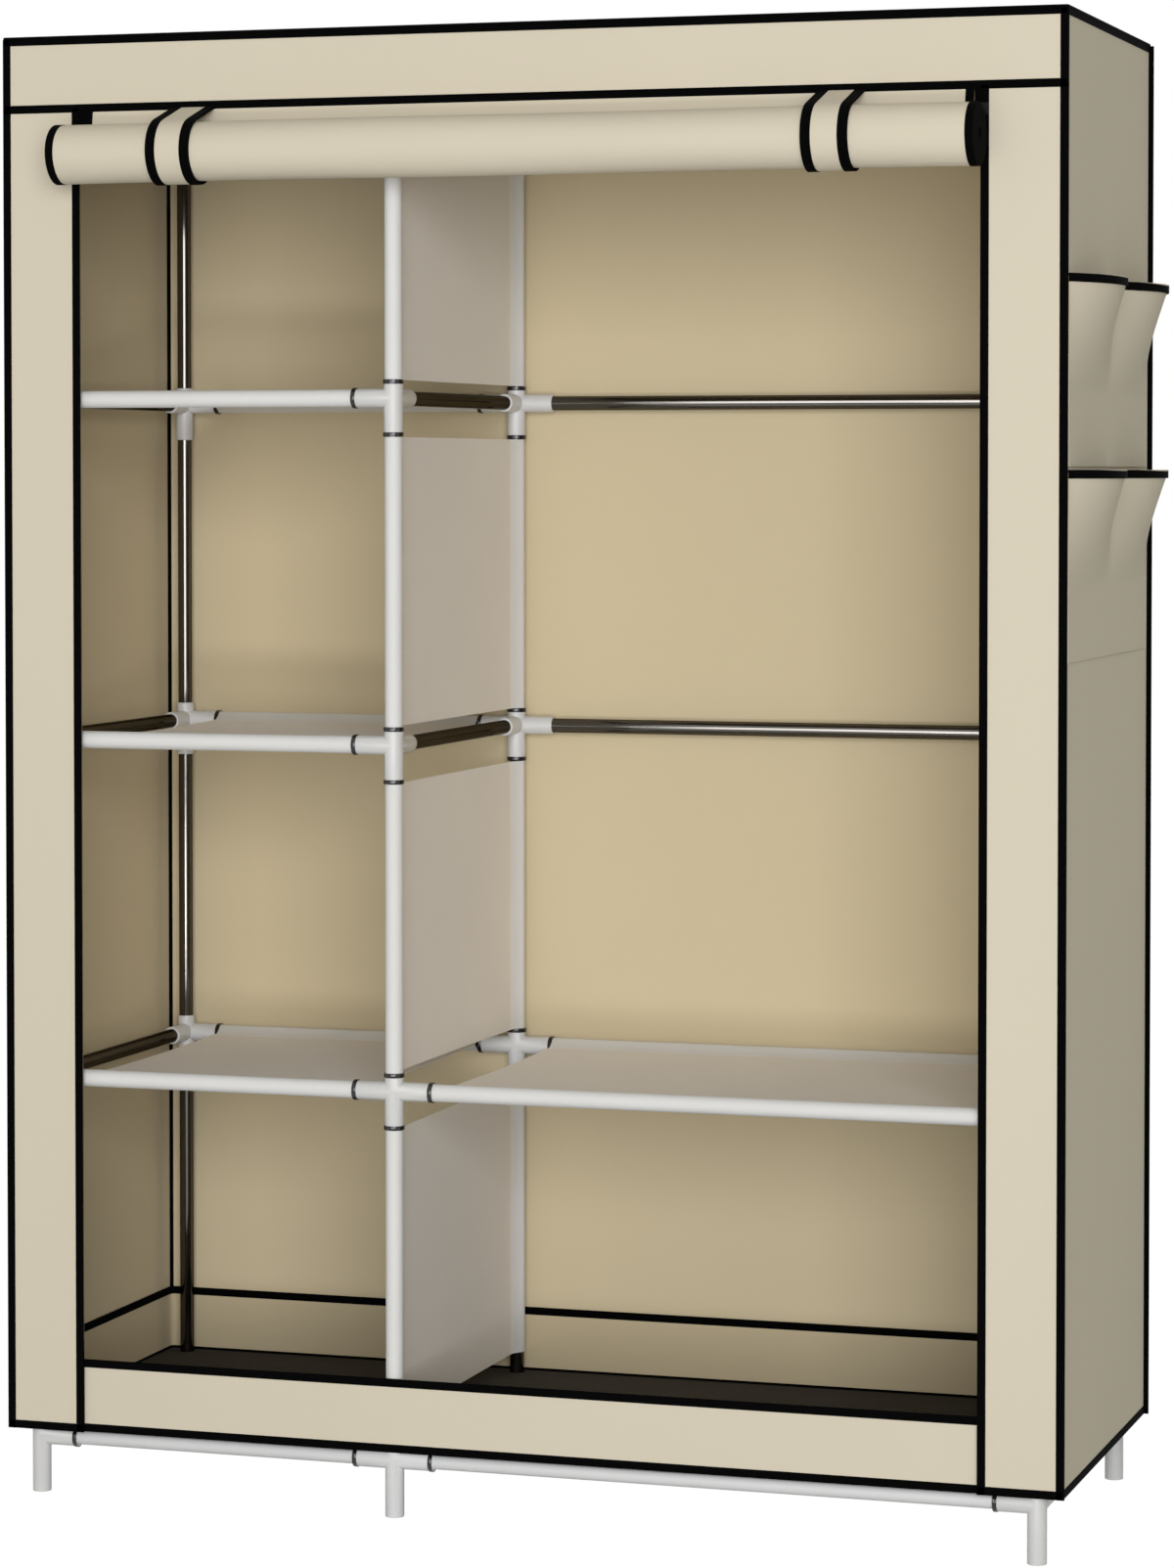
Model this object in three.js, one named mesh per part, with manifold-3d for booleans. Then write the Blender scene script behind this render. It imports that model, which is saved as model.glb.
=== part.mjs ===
// Portable fabric wardrobe: a plug-together tube frame with cloth shelves, under a bound cloth cover.
// Millimetres, +Z up, front towards -Y. The roll-up door is shown rolled up behind its two straps.
import * as THREE from "three";
import { mergeVertices } from "three/addons/utils/BufferGeometryUtils.js";
import Module from "manifold-3d";

const wasm = await Module();
wasm.setup();

// Cover: sizes over the cloth, the height of its hem and the drop to the header's seam
const coverWidth = 1168;
const coverDepth = 447;
const coverHeight = 1584.5;
const hemHeight = 76;
const headerDrop = 77.5;
const jambWidth = 84;
const clothThickness = 1;
const bindingWidth = 8;
const bindingProud = 1.5;
const fitGap = 0.3;

// Frame: tubes, and the heights and places of their axes. The rows share what is left of the height.
const tubeDiameter = 16;
const tubeWall = 0.5;
const tubeSides = 10;
const railHeight = 61.5;
const lowRowHeight = 456;
const topRailDrop = 21.5;
const rowCount = 3;
const leftBayWidth = 411;
const postInsetSide = 29.5;
const postInsetFront = 18;

// Moulded connectors
const socketWall = 1.9;
const socketDepth = 30;
const armReach = 45;
const sleeveAbove = 19.5;
const sleeveBelow = 41;
const ringProud = 0.8;
const ringLength = 2.4;
const footChamfer = 2;

// Floor tray
const trayWallHeight = 70;
const sillSetback = 5;
const trayRimProud = 1;

// Slung cloths
const dividerFloorGap = 25;
const sleeveThickness = 1;

// Door roll, its straps and the sheet above it
const rollRadius = 33;
const rollEndInset = 80;
const rollDrop = 46;
const rollStandoff = 8;
const rollTurns = 11;
const rollPitch = 2.4;
const rollClothThickness = 1.2;
const stepsPerTurn = 20;
const strapWidth = 49;
const strapBinding = 9;
const strapBindingProud = 0.8;
const strapInsets = { strap_left: 221, strap_right: 233 };
const strapWrapAngle = THREE.MathUtils.degToRad(215);
const strapTopOverlap = 4;
const sheetSideGap = 11;

// Side pockets
const pocketMouthDrop = 264.5;
const pocketRowHeight = 199;
const pocketBulge = 28;
const pocketTaper = 105;
const pocketsPerRow = 2;
const pocketSegments = 6;
const pocketSteps = 5;
const pocketTaperShare = 1.25;
const pocketBindingProud = 1;

// Zip sliders
const zipPlateThickness = 1.2;
const zipNeckWidth = 5;
const zipOuterWing = 4;
const zipInnerWing = 5;
const zipBodyLength = 12;
const zipDropBelowSeam = 18;
const zipBridgeDepth = 2.5;
const zipBridgeLength = 6;
const zipPullWidth = 6;
const zipPullLength = 26;
const zipPullHole = 1.4;

const curveSegments = 10;
const cutOverrun = 1;
const weldTolerance = 1e-4;

// Places that follow from the sizes above
const tubeRadius = tubeDiameter / 2;
const boreRadius = tubeRadius + fitGap;
const socketRadius = boreRadius + socketWall;
const ringRadius = socketRadius + ringProud;
const halfWidth = coverWidth / 2;
const halfDepth = coverDepth / 2;
const postX = halfWidth - postInsetSide;
const postY = halfDepth - postInsetFront;
const postEnds = { front: -postY, back: postY };
const columns = { left: -postX, centre: leftBayWidth - postX, right: postX };
const topHeight = coverHeight - topRailDrop;
const rowPitch = (topHeight - lowRowHeight) / rowCount;
const rowHeights = Array.from({ length: rowCount }, (_, i) => lowRowHeight + (rowCount - 1 - i) * rowPitch);
const coverCeiling = coverHeight - clothThickness;
const headerSeamHeight = coverHeight - headerDrop;
const pocketMouthHeight = coverHeight - pocketMouthDrop;
const rollLength = coverWidth - 2 * rollEndInset;
const rollHeight = headerSeamHeight - rollDrop;
const rollY = -(halfDepth + rollStandoff + rollRadius);
const strapPlaces = { strap_left: strapInsets.strap_left - halfWidth, strap_right: halfWidth - strapInsets.strap_right };

const cloth = { color: 0xd6ccb4, roughness: 0.9, metalness: 0 };
const finishes = {
  coverCloth: cloth,
  liningCloth: { color: 0xd2cbc2, roughness: 0.92, metalness: 0 },
  steel: { color: 0x3d3a35, roughness: 0.3, metalness: 0.7 },
  paleSteel: { color: 0xd9dadb, roughness: 0.35, metalness: 0.2 },
  connector: { color: 0xe6e6e6, roughness: 0.45, metalness: 0 },
  zip: { color: 0x1c1c1c, roughness: 0.4, metalness: 0.6 },
};

const wardrobe = new THREE.Group();
const frameGroup = new THREE.Group();
const coverGroup = new THREE.Group();
const doorGroup = new THREE.Group();
wardrobe.add(frameGroup, coverGroup, doorGroup);

// A closed geometry as a solid that can be joined and cut
function solidOf(geometry) {
  const bare = new THREE.BufferGeometry();
  const source = geometry.index ? geometry.toNonIndexed() : geometry;
  bare.setAttribute("position", source.getAttribute("position"));
  const welded = mergeVertices(bare, weldTolerance);
  const corners = welded.index.array;
  const kept = [];
  for (let i = 0; i < corners.length; i += 3) {
    const [a, b, c] = corners.slice(i, i + 3);
    if (a !== b && b !== c && c !== a) kept.push(a, b, c);
  }
  const vertProperties = new Float32Array(welded.attributes.position.array);
  return new wasm.Manifold(new wasm.Mesh({ numProp: 3, vertProperties, triVerts: new Uint32Array(kept) }));
}

function geometryOf(solid) {
  const mesh = solid.getMesh();
  const geometry = new THREE.BufferGeometry();
  geometry.setAttribute("position", new THREE.BufferAttribute(new Float32Array(mesh.vertProperties), 3));
  geometry.setIndex(new THREE.BufferAttribute(new Uint32Array(mesh.triVerts), 1));
  geometry.computeVertexNormals();
  return geometry;
}

const joined = (solids) => solids.reduce((whole, piece) => whole.add(piece));
const cutBy = (solid, cutters) => cutters.reduce((left, cutter) => left.subtract(cutter), solid);

function addPiece(group, name, solid, finish, place = [0, 0, 0]) {
  const mesh = new THREE.Mesh(geometryOf(solid), new THREE.MeshStandardMaterial(finish));
  mesh.name = name;
  mesh.position.set(...place);
  group.add(mesh);
  return mesh;
}

// A block between two corners
function block(low, high) {
  const size = high.map((value, i) => value - low[i]);
  const middle = high.map((value, i) => (value + low[i]) / 2);
  return solidOf(new THREE.BoxGeometry(...size).translate(...middle));
}

// A round bar along an axis, from one distance along it to another
function bar(axis, radius, from, to, place = [0, 0, 0], endRadius = radius) {
  const geometry = new THREE.CylinderGeometry(endRadius, radius, to - from, tubeSides);
  geometry.translate(0, (from + to) / 2, 0);
  if (axis === "x") geometry.rotateZ(-Math.PI / 2);
  if (axis === "z") geometry.rotateX(Math.PI / 2);
  return solidOf(geometry.translate(...place));
}

function tube(axis, from, to) {
  const bore = bar(axis, tubeRadius - tubeWall, from - cutOverrun, to + cutOverrun);
  return bar(axis, tubeRadius, from, to).subtract(bore);
}

// An outline in the Y-Z plane, swept along X about its middle
function sweptAlongX(shape, length) {
  const geometry = new THREE.ExtrudeGeometry(shape, { depth: length, bevelEnabled: false, curveSegments });
  geometry.translate(0, 0, -length / 2);
  const turn = new THREE.Matrix4().makeBasis(
    new THREE.Vector3(0, 1, 0),
    new THREE.Vector3(0, 0, 1),
    new THREE.Vector3(1, 0, 0),
  );
  return solidOf(geometry.applyMatrix4(turn));
}

// One moulded arm of a connector with the ring at its mouth, and the bore of its socket
const armSeat = armReach - socketDepth;
const sided = (side, from, to) => (side > 0 ? [from, to] : [-to, -from]);
function arm(axis, side, kind, place) {
  const body = bar(axis, socketRadius, ...sided(side, 0, armReach), place);
  const ring = bar(axis, ringRadius, ...sided(side, armReach - ringLength, armReach), place);
  return kind === "socket" ? body.add(ring) : body;
}
function socketBore(axis, side, place) {
  return bar(axis, boreRadius, ...sided(side, armSeat, armReach + cutOverrun), place);
}

// A connector on a post: its upright sleeve and its arms, each [axis, side, "socket" or "fused"].
// A foot connector stands on the floor, and a top one is capped just under the cover's top.
function connector(level, arms, place = [0, 0, 0]) {
  const sleeveTop = {
    bottom: hemHeight - fitGap - railHeight,
    row: sleeveAbove,
    top: coverCeiling - fitGap - topHeight,
  }[level];
  const sleeveFoot = level === "bottom" ? footChamfer - railHeight : -sleeveBelow;
  const pieces = [bar("z", socketRadius, sleeveFoot, sleeveTop, place)];
  if (level === "bottom") {
    pieces.push(bar("z", socketRadius - footChamfer, -railHeight, sleeveFoot, place, socketRadius));
  } else {
    pieces.push(bar("z", ringRadius, sleeveFoot, sleeveFoot + ringLength, place));
  }
  if (level !== "top") pieces.push(bar("z", ringRadius, sleeveTop - ringLength, sleeveTop, place));
  arms.forEach(([axis, side, kind]) => pieces.push(arm(axis, side, kind, place)));
  const boreFoot = level === "bottom" ? -socketDepth : sleeveFoot - cutOverrun;
  const boreTop = level === "top" ? socketRadius : sleeveTop + cutOverrun;
  const cutters = arms
    .filter(([, , kind]) => kind === "socket")
    .map(([axis, side]) => socketBore(axis, side, place));
  return cutBy(joined(pieces), [...cutters, bar("z", boreRadius, boreFoot, boreTop, place)]);
}

// Uprights: each ends in a foot connector below and in a top connector above
const postBottom = railHeight - socketDepth + fitGap;
const postTop = topHeight + socketRadius - fitGap;
for (const [column, x] of Object.entries(columns)) {
  for (const [end, y] of Object.entries(postEnds)) {
    addPiece(frameGroup, `post_${column}_${end}`, tube("z", postBottom, postTop), finishes.steel, [x, y, 0]);
  }
}

// Rungs: a front-to-back bar with the connector at each of its ends, moulded round it
function addRung(name, column, level, height, frontSides, backSides) {
  const socket = (side) => ["x", side, "socket"];
  const front = [...frontSides.map(socket), ["y", 1, "fused"]];
  const back = [...backSides.map(socket), ["y", -1, "fused"]];
  const solid = joined([
    connector(level, front, [0, -postY, 0]),
    connector(level, back, [0, postY, 0]),
    bar("y", tubeRadius, armSeat - postY, postY - armSeat),
  ]);
  addPiece(frameGroup, name, solid, finishes.connector, [columns[column], 0, height]);
}
addRung("rung_left_bottom", "left", "bottom", railHeight, [1], [1]);
addRung("rung_right_bottom", "right", "bottom", railHeight, [-1], [-1]);
addRung("rung_left_top", "left", "top", topHeight, [1], [1]);
addRung("rung_right_top", "right", "top", topHeight, [-1], [-1]);
rowHeights.forEach((height, i) => {
  const row = i + 1;
  const lowest = row === rowCount;
  addRung(`rung_left_${row}`, "left", "row", height, [1], [1]);
  addRung(`rung_right_${row}`, "right", "row", height, lowest ? [-1] : [], [-1]);
  if (!lowest) addRung(`rung_centre_${row}`, "centre", "row", height, [-1], [-1, 1]);
});

// The lowest row of the centre uprights has a connector at each end and no tube between them
for (const [end, y] of Object.entries(postEnds)) {
  const name = `connector_centre_${rowCount}_${end}`;
  const solid = connector("row", [["x", -1, "socket"], ["x", 1, "socket"]]);
  addPiece(frameGroup, name, solid, finishes.connector, [columns.centre, y, lowRowHeight]);
}

// Rails: two tubes with the centre connector between them, plugged into the corner connectors
const rodInset = armSeat + fitGap;
function addRail(name, level, y, height) {
  const from = columns.left + rodInset - columns.centre;
  const to = columns.right - rodInset - columns.centre;
  const towards = -Math.sign(y);
  const solid = joined([
    connector(level, [["x", -1, "fused"], ["x", 1, "fused"], ["y", towards, "socket"]]),
    bar("x", tubeRadius, from, -armSeat),
    bar("x", tubeRadius, armSeat, to),
  ]);
  addPiece(frameGroup, name, solid, finishes.paleSteel, [columns.centre, y, height]);
}
for (const [end, y] of Object.entries(postEnds)) {
  addRail(`rail_bottom_${end}`, "bottom", y, railHeight);
  addRail(`rail_top_${end}`, "top", y, topHeight);
}
for (const [name, height] of [["depth_rod_bottom", railHeight], ["depth_rod_top", topHeight]]) {
  const rod = tube("y", rodInset - postY, postY - rodInset);
  addPiece(frameGroup, name, rod, finishes.steel, [columns.centre, 0, height]);
}

// Shelf and hanging rods, each a fit gap short of its sockets' floors
function addRod(name, fromColumn, toColumn, y, height) {
  const rod = tube("x", columns[fromColumn] + rodInset, columns[toColumn] - rodInset);
  addPiece(frameGroup, name, rod, finishes.steel, [0, y, height]);
}
for (const [end, y] of Object.entries(postEnds)) {
  rowHeights.forEach((height, i) => addRod(`shelf_rod_left_${i + 1}_${end}`, "left", "centre", y, height));
  addRod(`shelf_rod_right_${rowCount}_${end}`, "centre", "right", y, lowRowHeight);
}
addRod("hanging_rod_1", "centre", "right", postY, rowHeights[0]);
addRod("hanging_rod_2", "centre", "right", postY, rowHeights[1]);

// Slung cloths: a sheet between two sleeves, sewn round a pair of tubes before and behind.
// axis is the way the tubes run, and the sleeves run from one distance along it to another.
const clothSleeveRadius = boreRadius + sleeveThickness;
function slungCloth(axis, from, to) {
  const sheetHalf = clothThickness / 2;
  const sheet = {
    x: () => block([from, -postY, -sheetHalf], [to, postY, sheetHalf]),
    z: () => block([-sheetHalf, -postY, from], [sheetHalf, postY, to]),
  }[axis]();
  const places = Object.values(postEnds).map((y) => [0, y, 0]);
  const sleeves = places.map((place) => bar(axis, clothSleeveRadius, from, to, place));
  const bores = places.map((place) => bar(axis, boreRadius, from - cutOverrun, to + cutOverrun, place));
  return cutBy(joined([sheet, ...sleeves]), bores);
}
const clothInset = armReach + fitGap;
rowHeights.forEach((height, i) => {
  const shelf = slungCloth("x", columns.left + clothInset, columns.centre - clothInset);
  addPiece(frameGroup, `shelf_left_${i + 1}`, shelf, finishes.liningCloth, [0, 0, height]);
});
const rightShelf = slungCloth("x", columns.centre + clothInset, columns.right - clothInset);
addPiece(frameGroup, `shelf_right_${rowCount}`, rightShelf, finishes.liningCloth, [0, 0, lowRowHeight]);
[topHeight, ...rowHeights].forEach((height, i) => {
  const below = [...rowHeights, hemHeight + dividerFloorGap - sleeveAbove - fitGap][i];
  const divider = slungCloth("z", below + sleeveAbove + fitGap, height - sleeveBelow - fitGap);
  addPiece(frameGroup, `divider_${i + 1}`, divider, finishes.liningCloth, [columns.centre, 0, 0]);
});

// Floor tray: a cloth floor with low walls outside the uprights. Its front wall is the sill.
const trayX = halfWidth - clothThickness - fitGap;
const trayBack = halfDepth - clothThickness - fitGap;
const trayFront = sillSetback - halfDepth;
const trayTop = hemHeight + trayWallHeight;
function trayBlock(inset, low, high) {
  return block([inset - trayX, trayFront + inset, low], [trayX - inset, trayBack - inset, high]);
}
const trayBinding = trayTop - bindingWidth;
const sillFace = trayFront - trayRimProud;
const trayOpenTop = trayTop + cutOverrun;
const trayHollow = trayBlock(clothThickness, hemHeight + clothThickness, trayOpenTop);
const rimHollow = trayBlock(clothThickness + trayRimProud, trayBinding - cutOverrun, trayOpenTop);
const tray = joined([
  trayBlock(0, hemHeight, trayTop).subtract(trayHollow),
  trayBlock(0, trayBinding, trayTop).subtract(rimHollow),
  block([-trayX, sillFace, trayBinding], [trayX, trayFront + clothThickness, trayTop]),
  block([-trayX, sillFace, hemHeight], [trayX, trayFront + clothThickness, hemHeight + bindingWidth]),
]);
const postHoles = Object.values(columns).flatMap((x) =>
  Object.values(postEnds).map((y) =>
    bar("z", boreRadius + fitGap, hemHeight - cutOverrun, hemHeight + clothThickness + cutOverrun, [x, y, 0]),
  ),
);
addPiece(coverGroup, "base_tray", cutBy(tray, postHoles), finishes.coverCloth);

// Cover panels: each stands in the X-Z plane with its outer face towards -Y, on its lower middle,
// and is bound along the sides named
function panel(width, height, boundSides) {
  const half = width / 2;
  const strips = {
    left: [-half, bindingWidth - half, 0, height],
    right: [half - bindingWidth, half, 0, height],
    bottom: [-half, half, 0, bindingWidth],
    top: [-half, half, height - bindingWidth, height],
  };
  const bindings = boundSides.map((side) => {
    const [left, right, low, high] = strips[side];
    return block([left, -bindingProud, low], [right, clothThickness, high]);
  });
  return joined([block([-half, 0, 0], [half, clothThickness, height]), ...bindings]);
}
const wallTop = coverCeiling - fitGap;
const wallHeight = wallTop - hemHeight;
const sideWidth = coverDepth - 2 * (clothThickness + fitGap);
const allSides = ["left", "right", "bottom", "top"];
const wholeWall = panel(coverWidth, wallHeight, allSides);
const sideWall = (boundEnd) => panel(sideWidth, wallHeight, [boundEnd, "bottom", "top"]);
const header = panel(coverWidth, wallTop - headerSeamHeight, allSides);
const jamb = panel(jambWidth, headerSeamHeight - fitGap - hemHeight, ["left", "right", "bottom"]);
const jambMiddle = halfWidth - jambWidth / 2;
function addPanel(name, solid, place, axis = "z", turn = 0) {
  addPiece(coverGroup, name, solid, finishes.coverCloth, place).rotation[axis] = turn;
}
addPanel("cover_back", wholeWall, [0, halfDepth, hemHeight], "z", Math.PI);
addPanel("cover_right", sideWall("right"), [halfWidth, 0, hemHeight], "z", Math.PI / 2);
addPanel("cover_left", sideWall("left"), [-halfWidth, 0, hemHeight], "z", -Math.PI / 2);
addPanel("cover_top", panel(coverWidth, coverDepth, allSides), [0, -halfDepth, coverHeight], "x", -Math.PI / 2);
addPanel("cover_header", header, [0, -halfDepth, headerSeamHeight]);
addPanel("cover_jamb_left", jamb, [-jambMiddle, -halfDepth, hemHeight]);
addPanel("cover_jamb_right", jamb, [jambMiddle, -halfDepth, hemHeight]);

// Side pockets: a row is one cloth sewn flat to the right wall at its foot and between its pockets.
// Each mouth bows out, and the bow dies away below it.
const pocketRowLength = sideWidth - 2 * (bindingWidth + fitGap);
function pocketBow(y) {
  const along = (y / pocketRowLength + 0.5) * pocketsPerRow;
  const share = along - Math.floor(along);
  return 4 * share * (1 - share) * pocketBulge;
}
const mouthBinding = pocketRowHeight - bindingWidth;
const pocketLevels = [
  0,
  ...Array.from({ length: pocketSteps }, (_, i) => mouthBinding - pocketTaper * (1 - i / (pocketSteps - 1))),
  mouthBinding + pocketBindingProud,
  pocketRowHeight - fitGap,
];
// Both faces of the cloth are split along the same diagonals, so that they stay a wall apart.
function pocketRowSolid() {
  const columnCount = pocketsPerRow * pocketSegments;
  const places = Array.from({ length: columnCount + 1 }, (_, i) => (i / columnCount - 0.5) * pocketRowLength);
  const corners = [];
  for (const thickness of [0, clothThickness]) {
    for (const level of pocketLevels) {
      const open = Math.max(0, 1 - (pocketRowHeight - level) / pocketTaper) ** pocketTaperShare;
      const bound = thickness > 0 && level > mouthBinding ? pocketBindingProud : 0;
      places.forEach((y) => corners.push(thickness + bound + pocketBow(y) * open, y, level));
    }
  }
  const lastLevel = pocketLevels.length - 1;
  const inner = (level, column) => level * places.length + column;
  const outer = (level, column) => inner(level + pocketLevels.length, column);
  const faces = [];
  const quad = (a, b, c, d) => faces.push(a, b, c, a, c, d);
  for (let level = 0; level < lastLevel; level += 1) {
    const above = level + 1;
    for (let column = 0; column < columnCount; column += 1) {
      const next = column + 1;
      quad(outer(level, column), outer(level, next), outer(above, next), outer(above, column));
      faces.push(inner(level, column), inner(above, next), inner(level, next));
      faces.push(inner(level, column), inner(above, column), inner(above, next));
    }
    quad(inner(level, 0), outer(level, 0), outer(above, 0), inner(above, 0));
    quad(inner(level, columnCount), inner(above, columnCount), outer(above, columnCount), outer(level, columnCount));
  }
  for (let column = 0; column < columnCount; column += 1) {
    const next = column + 1;
    quad(inner(0, column), inner(0, next), outer(0, next), outer(0, column));
    quad(inner(lastLevel, column), outer(lastLevel, column), outer(lastLevel, next), inner(lastLevel, next));
  }
  const geometry = new THREE.BufferGeometry();
  geometry.setAttribute("position", new THREE.BufferAttribute(new Float32Array(corners), 3));
  return solidOf(geometry.setIndex(faces));
}
const pocketRow = pocketRowSolid();
["pocket_row_upper", "pocket_row_lower"].forEach((name, i) => {
  const foot = pocketMouthHeight - (i + 1) * pocketRowHeight;
  addPiece(coverGroup, name, pocketRow, finishes.coverCloth, [halfWidth + fitGap, 0, foot]);
});

// Door roll: the door's cloth wound from its back tangent down, under and up the front
const seamToRoll = new THREE.Vector2(-halfDepth - rollY, headerSeamHeight - fitGap - rollHeight);
const sheetTangent = seamToRoll.angle() - Math.acos((rollRadius + fitGap) / seamToRoll.length());
function rollPoint(step, radiusLoss) {
  const turned = step / stepsPerTurn;
  const radius = rollRadius - radiusLoss - rollPitch * turned;
  const angle = sheetTangent - turned * 2 * Math.PI;
  return new THREE.Vector2(radius * Math.cos(angle), radius * Math.sin(angle));
}
const rollSteps = Array.from({ length: rollTurns * stepsPerTurn + 1 }, (_, i) => i);
const rollOutside = rollSteps.map((step) => rollPoint(step, 0));
const rollInside = rollSteps.map((step) => rollPoint(step, rollClothThickness));
const turnGap = Math.min(
  ...rollInside.slice(0, -stepsPerTurn).map((point, i) => point.distanceTo(rollOutside[i + stepsPerTurn])),
);
console.log(`door roll: least gap between its turns ${turnGap.toFixed(2)} mm`);
const rollCentre = [0, rollY, rollHeight];
const roll = sweptAlongX(new THREE.Shape([...rollOutside, ...rollInside.reverse()]), rollLength);
addPiece(doorGroup, "door_roll", roll, finishes.coverCloth, rollCentre);

// Door sheet: from the header's seam down to the back of the roll, between the zips
const jambEdge = halfWidth - jambWidth;
const sheetNormal = new THREE.Vector2(Math.cos(sheetTangent), Math.sin(sheetTangent));
const sheetFoot = sheetNormal.clone().multiplyScalar(rollRadius + fitGap);
const sheetDepth = sheetNormal.clone().multiplyScalar(clothThickness);
const sheetShape = new THREE.Shape([
  seamToRoll,
  sheetFoot,
  sheetFoot.clone().add(sheetDepth),
  new THREE.Vector2(seamToRoll.x + clothThickness / sheetNormal.x, seamToRoll.y),
]);
const sheet = sweptAlongX(sheetShape, 2 * (jambEdge - sheetSideGap));
addPiece(doorGroup, "door_sheet", sheet, finishes.coverCloth, rollCentre);

// Straps: each hangs from the header's seam, over the front of the roll and under it
const strapSeam = new THREE.Vector2(
  -(halfDepth + bindingProud + fitGap) - rollY,
  headerSeamHeight + strapTopOverlap - rollHeight,
);
const strapTangent = strapSeam.angle() + Math.acos((rollRadius + fitGap) / strapSeam.length());
function strapBand(width, thickness) {
  const inner = rollRadius + fitGap;
  const outer = inner + thickness;
  const end = strapTangent + strapWrapAngle;
  const rise = new THREE.Vector2(Math.cos(strapTangent), Math.sin(strapTangent)).multiplyScalar(thickness);
  const shape = new THREE.Shape();
  shape.moveTo(strapSeam.x, strapSeam.y);
  shape.absarc(0, 0, inner, strapTangent, end, false);
  shape.absarc(0, 0, outer, end, strapTangent, true);
  shape.lineTo(strapSeam.x + rise.x, strapSeam.y + rise.y);
  return sweptAlongX(shape, width);
}
const strapEdge = (strapWidth - strapBinding) / 2;
const strap = joined([
  strapBand(strapWidth, clothThickness),
  strapBand(strapBinding, clothThickness + strapBindingProud).translate([strapEdge, 0, 0]),
  strapBand(strapBinding, clothThickness + strapBindingProud).translate([-strapEdge, 0, 0]),
]);
for (const [name, x] of Object.entries(strapPlaces)) {
  addPiece(doorGroup, name, strap, finishes.coverCloth, [x, rollY, rollHeight]);
}

// Zip sliders: an H-shaped body that straddles the jamb's bound edge, with its bridge and pull.
// Each is drawn about the jamb's edge on the cloth's outer face, with the jamb on its outer side.
function zipSlider(side) {
  const across = (from, to) => [Math.min(side * from, side * to), Math.max(side * from, side * to)];
  const slab = (x, y, z) => block([x[0], y[0], z[0]], [x[1], y[1], z[1]]);
  const neck = [-zipNeckWidth - fitGap, -fitGap];
  const wings = across(neck[0] - zipInnerWing, zipOuterWing);
  const front = -bindingProud - fitGap;
  const back = clothThickness + fitGap;
  const body = [-zipBodyLength, 0];
  const bridge = across((neck[0] + neck[1] - zipPullWidth) / 2, (neck[0] + neck[1] + zipPullWidth) / 2);
  const bridgeFront = front - zipPlateThickness - zipBridgeDepth;
  const pull = new THREE.Shape();
  const pullHalf = zipPullWidth / 2;
  pull.moveTo(pullHalf, 0);
  pull.absarc(0, pullHalf - zipPullLength, pullHalf, 0, -Math.PI, true);
  pull.lineTo(-pullHalf, 0);
  pull.holes.push(new THREE.Path().absarc(0, pullHalf - zipPullLength, zipPullHole, 0, 2 * Math.PI, false));
  const depth = zipPlateThickness;
  const tab = new THREE.ExtrudeGeometry(pull, { depth, bevelEnabled: false, curveSegments });
  tab.rotateX(Math.PI / 2);
  tab.translate((bridge[0] + bridge[1]) / 2, bridgeFront + zipPlateThickness, zipBridgeLength - zipBodyLength);
  return joined([
    slab(wings, [front - zipPlateThickness, front], body),
    slab(wings, [back, back + zipPlateThickness], body),
    slab(across(...neck), [front - zipPlateThickness, back + zipPlateThickness], body),
    slab(bridge, [bridgeFront, front], [-zipBodyLength, -zipBodyLength + zipBridgeLength]),
    solidOf(tab),
  ]);
}
const zipTop = headerSeamHeight - zipDropBelowSeam;
addPiece(doorGroup, "zip_slider_left", zipSlider(-1), finishes.zip, [-jambEdge, -halfDepth, zipTop]);
addPiece(doorGroup, "zip_slider_right", zipSlider(1), finishes.zip, [jambEdge, -halfDepth, zipTop]);

// The whole stands on the middle of its own footprint
const bounds = new THREE.Box3().setFromObject(wardrobe, true);
const middle = bounds.getCenter(new THREE.Vector3());
wardrobe.position.set(-middle.x, -middle.y, -bounds.min.z);

export default wardrobe;
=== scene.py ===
# Portable fabric wardrobe: a plug-together tube frame with cloth shelves under a bound cloth cover.
# Metres, +Z up, front towards -Y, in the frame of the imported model.
import math

import bmesh
import bpy
from mathutils import Matrix, Vector


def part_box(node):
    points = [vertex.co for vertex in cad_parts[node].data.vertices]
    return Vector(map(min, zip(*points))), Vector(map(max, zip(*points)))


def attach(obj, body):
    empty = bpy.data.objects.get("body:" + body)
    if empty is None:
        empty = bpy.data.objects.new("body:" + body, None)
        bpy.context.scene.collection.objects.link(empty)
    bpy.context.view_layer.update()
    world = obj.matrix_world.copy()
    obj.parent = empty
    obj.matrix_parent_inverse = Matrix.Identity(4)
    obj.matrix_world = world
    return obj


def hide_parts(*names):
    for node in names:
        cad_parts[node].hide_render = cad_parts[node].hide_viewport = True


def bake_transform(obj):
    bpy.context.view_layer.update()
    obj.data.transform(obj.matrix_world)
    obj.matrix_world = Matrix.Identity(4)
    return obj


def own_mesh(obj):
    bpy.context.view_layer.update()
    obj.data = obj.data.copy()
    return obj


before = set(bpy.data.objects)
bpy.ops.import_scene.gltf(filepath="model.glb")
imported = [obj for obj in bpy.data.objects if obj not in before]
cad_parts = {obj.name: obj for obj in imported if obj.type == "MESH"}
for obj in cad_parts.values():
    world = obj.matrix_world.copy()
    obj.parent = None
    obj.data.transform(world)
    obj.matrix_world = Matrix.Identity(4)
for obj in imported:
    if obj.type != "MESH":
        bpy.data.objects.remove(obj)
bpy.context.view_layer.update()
scene = bpy.context.scene
scene.view_settings.view_transform = "Standard"

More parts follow.
